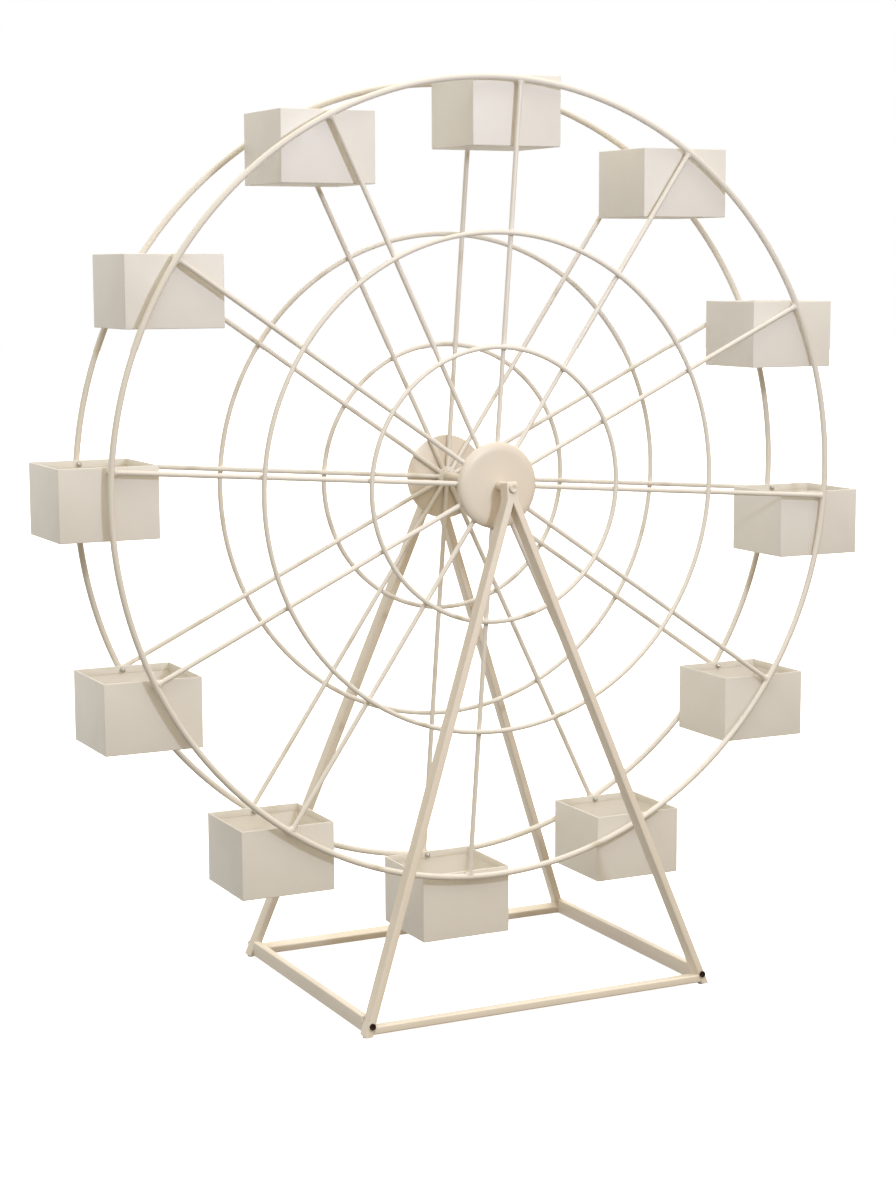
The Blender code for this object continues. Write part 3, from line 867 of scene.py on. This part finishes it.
def makeBaseBar(face, sideY):
    look = tubeShape
    center, normal, upwards = baseBarLine(face, sideY)
    reach = Vector((look["baseUncut"], 0, 0))
    bm = bmesh.new()
    tubeBetween(bm, center - reach, center + reach, upwards, normal, look["narrow"] / 2,
                look["broad"] / 2)
    for sideName, sideX in sides:
        foot, _, _, outwards = legLine(face + "_" + sideName, sideX, sideY)
        trim(bm, foot - outwards * (look["narrow"] / 2 - look["weldIn"]), outwards)
    addPiece(face + "BaseBar", finishedMesh(bm, "bar"), "stand", rodFinish,
             [face + "_base_bar"])


def makeSideBar(sideName, sideX):
    look = tubeShape
    low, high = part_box(sideName + "_base_bar")
    center = (low + high) / 2
    reach = look["sideUncut"]
    start, end = [Vector((center.x, y, center.z)) for y in (-reach, reach)]
    bm = bmesh.new()
    tubeBetween(bm, start, end, Vector((1, 0, 0)), Vector((0, 0, 1)), (high.x - low.x) / 2,
                (high.z - low.z) / 2)
    for face, sideY in faces:
        foot, _, normal, _ = legLine(face + "_" + sideName, sideX, sideY)
        trim(bm, foot - normal * (look["broad"] / 2 - look["weldIn"]), normal)
    addPiece(sideName + "BaseBar", finishedMesh(bm, "bar"), "stand", rodFinish,
             [sideName + "_base_bar"])


for face, sideY in faces:
    makeBaseBar(face, sideY)
    for sideName, sideX in sides:
        makeLeg(face + "_" + sideName, sideX, sideY)
for sideName, sideX in sides:
    makeSideBar(sideName, sideX)
print("stand made")


# Welds of the stand: ground flush outside, and left as uneven beads in the inner corners on top
# of the bars, down the joint of each pair of legs and under the sleeves
weldShape = {
    "radius": 0.0013,
    "sides": 8,
    "step": 0.0011,
    "lump": 0.0035,
    "uneven": 0.5,
    # over a bottom bar's end: how far from the middle of its top, and how far over it
    "baseSeam": ((-0.010, -0.0016), (-0.009, 0.0), (0.009, 0.0), (0.010, -0.0016)),
    # over a side bar's end: how far in from its side, and how far under its top
    "sideSeam": ((0.0024, 0.0018), (0.0030, 0.0)),
    "jointStart": 0.0035,        # under the sleeve
    "jointLength": 0.011,
    "jointSteps": 4,
    "jointSunk": 0.0012,
    "sleeveDegrees": (201.6, 338.4),
    "sleeveSteps": 14,
    "sleeveOut": 0.0002,
}


def onPlane(point, direction, planePoint, normal):
    return point + direction * ((planePoint - point).dot(normal) / direction.dot(normal))


def barSeams(face, sideY):
    look = weldShape
    halfBroad, halfNarrow = tubeShape["broad"] / 2, tubeShape["narrow"] / 2
    center, normal, upwards = baseBarLine(face, sideY)
    paths = []
    for sideName, sideX in sides:
        foot, _, _, outwards = legLine(face + "_" + sideName, sideX, sideY)
        inside = foot - outwards * halfNarrow
        paths.append([onPlane(center + normal * deep + upwards * (halfNarrow + rise),
                              Vector((1, 0, 0)), inside, outwards)
                      for deep, rise in look["baseSeam"]])
        low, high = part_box(sideName + "_base_bar")
        corners = [(low.x + inset, high.z - drop) for inset, drop in look["sideSeam"]]
        corners += [(high.x - inset, high.z - drop) for inset, drop in look["sideSeam"][::-1]]
        paths.append([onPlane(Vector((x, 0, z)), Vector((0, 1, 0)), foot - normal * halfBroad,
                              normal) for x, z in corners])
    return paths


def topSeams(face, sideY):
    look = weldShape
    halfBroad = tubeShape["broad"] / 2
    foot, _, normal, _ = legLine(face + "_right", 1, sideY)
    sleeve = halfWidth(face + "_axle_sleeve")
    start, steps = axle.z - sleeve - look["jointStart"], look["jointSteps"]
    joint = [(0, start - look["jointLength"] * i / steps) for i in range(steps + 1)]
    under = arc(axle.x, axle.z, sleeve, sleeve, *look["sleeveDegrees"], look["sleeveSteps"])
    sunk = halfBroad - look["jointSunk"]
    seams = ((joint, -sunk), (joint, sunk), (under, -halfBroad - look["sleeveOut"]))
    return [[onPlane(Vector((x, 0, z)), Vector((0, 1, 0)), foot + normal * out, normal)
             for x, z in path] for path, out in seams]


def makeStandWelds():
    look = weldShape
    points, edges = [], []
    for face, sideY in faces:
        for path in barSeams(face, sideY) + topSeams(face, sideY):
            edges += [(len(points) + i, len(points) + i + 1) for i in range(len(path) - 1)]
            points += path
    seams = bpy.data.meshes.new("seams")
    seams.from_pydata(points, edges, [])
    mesh = madeWithNodes("standWelds", seams, weldTree, {
        "Bead Radius": look["radius"], "Bead Sides": look["sides"], "Step": look["step"],
        "Lump Size": look["lump"], "Unevenness": look["uneven"], "Material": rodFinish})
    addPiece("standWelds", mesh, "stand", rodFinish)


makeStandWelds()
print("welds made")


# Sleeves at the tops of the legs, and the long axle bolt through them
axleShape = {
    "bore": 0.0053,
    "boreEdge": 0.0003,
    "sleeveEdge": 0.0005,
    "shank": 0.005,
    "shankEdge": 0.0008,
    "headRadius": 0.0070,        # a low round head just off the plate, with a dark gap under it
    "headHeight": 0.003,
    "headEdge": 0.0008,
    "headUnderEdge": 0.0003,
    "headSteps": 8,
    # radius and depth along the hollow in the head
    "dimple": ((0.0029, 0.0001), (0.0023, 0.0005), (0.0017, 0.0012), (0.0, 0.0012)),
    "washerRadius": 0.0115,      # behind
    "washer": 0.0015,
    "washerEdge": 0.0004,
    "nutRadius": 0.0095,
    "nutHeight": 0.008,
    "nutEdge": 0.0006,
    "nutSeat": 0.90,             # widths of the nut's seat and top, as parts of its corners'
    "nutTop": 0.84,
    "steps": 48,
}


def makeSleeve(face, side):
    look = axleShape
    node = face + "_axle_sleeve"
    radius, edge, bore = halfWidth(node), look["sleeveEdge"], look["bore"]
    start, end = innermost(node), outermost(node)
    if face == "front":
        end = tubeShape["topY"]     # inside the plate, under the bolt's head
    profile = [(bore, start + look["boreEdge"]), (bore + look["boreEdge"], start),
               (radius - edge, start), (radius, start + edge), (radius, end), (bore, end)]
    mesh = turnedMesh(face + "AxleSleeve", profile, axle, Vector((0, side, 0)), look["steps"],
                      "loop")
    addPiece(face + "AxleSleeve", mesh, "stand", rodFinish, [node])


def makeAxleBolt():
    look = axleShape
    start = outermost("front_axle_sleeve") + gap
    top = start + look["headHeight"]
    tail = -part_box("axle_bolt")[1].y
    shank, tip, under = look["shank"], look["shankEdge"], look["headUnderEdge"]
    radius, edge = look["headRadius"], look["headEdge"]
    profile = [(0.0, tail), (shank - tip, tail), (shank, tail + tip), (shank, start),
               (radius - under, start), (radius, start + under)]
    profile += arc(radius - edge, top - edge, edge, edge, 0, 90, look["headSteps"])
    profile += [(reach, top - depth) for reach, depth in look["dimple"]]
    mesh = turnedMesh("axleBolt", profile, axle, Vector((0, -1, 0)), look["steps"], "open")
    addPiece("axleBolt", mesh, "stand", rodFinish, ["axle_bolt"])


def makeAxleNut():
    look = axleShape
    start = outermost("back_axle_sleeve") + gap
    nut = start + look["washer"]
    top = nut + look["nutHeight"]
    radius, edge = look["washerRadius"], look["washerEdge"]
    corner, chamfer = look["nutRadius"], look["nutEdge"]
    profile = [(look["bore"], start), (radius - edge, start), (radius, start + edge),
               (radius, nut - edge), (radius - edge, nut), (corner * look["nutSeat"], nut),
               (corner, nut + chamfer, 6), (corner, top - chamfer, 6),
               (corner * look["nutTop"], top), (look["bore"], top)]
    mesh = turnedMesh("axleNut", profile, axle, Vector((0, 1, 0)), look["steps"], "loop")
    addPiece("axleNut", mesh, "stand", rodFinish, ["axle_nut"])


for face, side in faces:
    makeSleeve(face, side)
makeAxleBolt()
makeAxleNut()
print("axle made")


# Corner bolts with hexagon sockets, and the small feet under the corners
boltShape = {
    "headRadius": 0.005,
    "headHeight": 0.0035,
    "edge": 0.0006,
    "seat": 0.0002,              # from the leg to the head, and the rounding under the head
    "socketRadius": 0.0029,
    "socketDepth": 0.0022,
    "socketEdge": 0.0002,
    "socketPoint": 0.0008,       # the drill's point under the socket
    "shank": 0.003,
    "shankEnd": 0.041,
    "rise": 0.0145,              # bolt over the underside of the leg
    "steps": 36,
}
footShape = {"edge": 0.0008, "steps": 32}


def makeCornerBolt(corner, sideX, sideY):
    look = boltShape
    foot, along, normal, _ = legLine(corner, sideX, sideY)
    place = foot + along * (look["rise"] / along.z) + normal * tubeShape["broad"] / 2
    top, edge, seat = look["headHeight"], look["edge"], look["seat"]
    radius, socket, rim = look["headRadius"], look["socketRadius"], look["socketEdge"]
    bottom = top - look["socketDepth"]
    profile = [(0.0, -look["shankEnd"]), (look["shank"], -look["shankEnd"]),
               (look["shank"], seat), (radius - seat, seat), (radius, seat * 2),
               (radius, top - edge), (radius - edge * bend, top - edge * bend),
               (radius - edge, top), (socket + rim, top), (socket, top - rim, 6),
               (socket, bottom, 6), (0.0, bottom - look["socketPoint"])]
    mesh = turnedMesh("bolt", profile, place, normal, look["steps"], "open")
    addPiece(cornerName(corner, "Bolt"), mesh, "stand", blackFinish, [corner + "_bolt"])


def makeFoot(corner):
    node = corner + "_foot"
    center = middle(node)
    center.z = 0
    radius, height, edge = halfWidth(node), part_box(node)[1].z, footShape["edge"]
    profile = [(radius - edge, 0.0), (radius - edge * bend, edge * bend), (radius, edge),
               (radius, height)]
    mesh = turnedMesh("foot", profile, center, Vector((0, 0, 1)), footShape["steps"])
    addPiece(cornerName(corner, "Foot"), mesh, "stand", rubberFinish, [node])


for face, sideY in faces:
    for sideName, sideX in sides:
        makeCornerBolt(face + "_" + sideName, sideX, sideY)
        makeFoot(face + "_" + sideName)
print("bolts and feet made")


# Studio: a bright white room, warmer towards the right, with a small cool light in front of the
# hub that gives the crisp shadows, and a soft box above the camera
studio = {
    "floorRadius": 30.0,
    "floorSteps": 64,
    "floorColor": "#F6F4F0",
    "floorRoughness": (0.70, 0.85),
    "floorGlow": 0.85,           # the floor is lit until it is as white as the room
    "roomWhite": 1.0,
    "walls": {
        # way from the stand to the wall, its colour and how bright it is
        "ceiling": ((0, 0, 1), "#FFFDF4", 2.28),
        "ground": ((0, 0, -1), "#FFFBEF", 0.12),
        "left": ((-1, 0, 0), "#E8ECFF", 0.21),
        "right": ((1, 0, 0), "#FFD09E", 0.36),
        "front": ((0, -1, 0), "#FFF2D4", 0.42),
        "back": ((0, 1, 0), "#FFFBF4", 1.26),
    },
    "lights": {
        # place, width, watts, colour
        "keyLight": ((0.17, -1.60, 1.52), 0.2, 12.0, "#DDE5FF"),
        "softBox": ((-1.70, -3.30, 1.70), 0.9, 9.0, "#FFF0E0"),
    },
    "aim": (0, 0, 0.8),
}
photoCamera = {"place": (-1.7186, -3.3827, 1.1683), "lens": 93.66,
               "yaw": 26.370, "pitch": -8.053, "roll": -0.185}


def makeFloor():
    look = studio
    bm = bmesh.new()
    bmesh.ops.create_circle(bm, cap_ends=True, segments=look["floorSteps"],
                            radius=look["floorRadius"])
    floor = newObject("studioFloor", finishedMesh(bm, "studioFloor"))
    material, tree, place = newMaterial("litWhiteStudioFloor")
    cloud = addNode(tree, "ShaderNodeTexNoise", {"Scale": 3.0, "Detail": 2.0}, {"Vector": place})
    smooth, rough = look["floorRoughness"]
    gloss = addNode(tree, "ShaderNodeMapRange", {"To Min": smooth, "To Max": rough},
                    {"Value": cloud.outputs[0]})
    shader = addNode(tree, "ShaderNodeBsdfPrincipled",
                     {"Base Color": paintColor(look["floorColor"]),
                      "Emission Color": (1, 1, 1, 1), "Emission Strength": look["floorGlow"]},
                     {"Roughness": gloss.outputs[0]})
    addNode(tree, "ShaderNodeOutputMaterial", {}, {"Surface": shader.outputs[0]})
    floor.data.materials.append(material)
    # the floor neither lights the stand, shows in its shine nor shades it from the room
    floor.visible_diffuse = False
    floor.visible_glossy = False
    floor.visible_shadow = False


# The room's walls fade softly into each other, and the camera sees plain white behind the stand
def makeRoom():
    world = bpy.data.worlds.new("studioRoom")
    bpy.context.scene.world = world
    world.use_nodes = True
    tree = world.node_tree
    tree.nodes.clear()
    way = addNode(tree, "ShaderNodeTexCoord")
    room = None
    for towards, color, strength in studio["walls"].values():
        facing = addNode(tree, "ShaderNodeVectorMath", {"operation": "DOT_PRODUCT", 1: towards},
                         {0: way.outputs["Generated"]})
        ahead = addNode(tree, "ShaderNodeMath", {"operation": "MAXIMUM", 1: 0.0},
                        {0: facing.outputs["Value"]})
        soft = addNode(tree, "ShaderNodeMath", {"operation": "POWER", 1: 2.0},
                       {0: ahead.outputs[0]})
        bright = addNode(tree, "ShaderNodeMath", {"operation": "MULTIPLY", 1: strength},
                         {0: soft.outputs[0]})
        wall = addNode(tree, "ShaderNodeBackground", {"Color": paintColor(color)},
                       {"Strength": bright.outputs[0]})
        if room:
            room = addNode(tree, "ShaderNodeAddShader", {}, {0: room.outputs[0],
                                                             1: wall.outputs[0]})
        else:
            room = wall
    white = addNode(tree, "ShaderNodeBackground", {"Color": (1, 1, 1, 1),
                                                   "Strength": studio["roomWhite"]})
    rays = addNode(tree, "ShaderNodeLightPath")
    seen = addNode(tree, "ShaderNodeMixShader", {},
                   {0: rays.outputs["Is Camera Ray"], 1: room.outputs[0], 2: white.outputs[0]})
    addNode(tree, "ShaderNodeOutputWorld", {}, {"Surface": seen.outputs[0]})


def makeLights():
    for name, (place, width, watts, color) in studio["lights"].items():
        data = bpy.data.lights.new(name, "AREA")
        data.shape = "DISK"
        data.size = width
        data.energy = watts
        data.color = paintColor(color)[:3]
        light = newObject(name, data)
        light.location = place
        way = Vector(place) - Vector(studio["aim"])
        light.rotation_euler = way.to_track_quat("Z", "Y").to_euler()
        light.visible_camera = False


def makeCamera():
    look = photoCamera
    data = bpy.data.cameras.new("photoCamera")
    data.sensor_fit = "HORIZONTAL"
    data.sensor_width = 36.0
    data.lens = look["lens"]
    camera = newObject("photoCamera", data)
    camera.location = look["place"]
    turn = Matrix.Rotation(math.radians(-look["yaw"]), 3, "Z")
    tilt = Matrix.Rotation(math.radians(90 + look["pitch"]), 3, "X")
    roll = Matrix.Rotation(math.radians(look["roll"]), 3, "Z")
    camera.rotation_euler = (turn @ tilt @ roll).to_euler()
    bpy.context.scene.camera = camera


makeFloor()
makeRoom()
makeLights()
makeCamera()
bpy.context.scene.view_settings.view_transform = "Standard"
print("studio made")

bpy.context.view_layer.update()
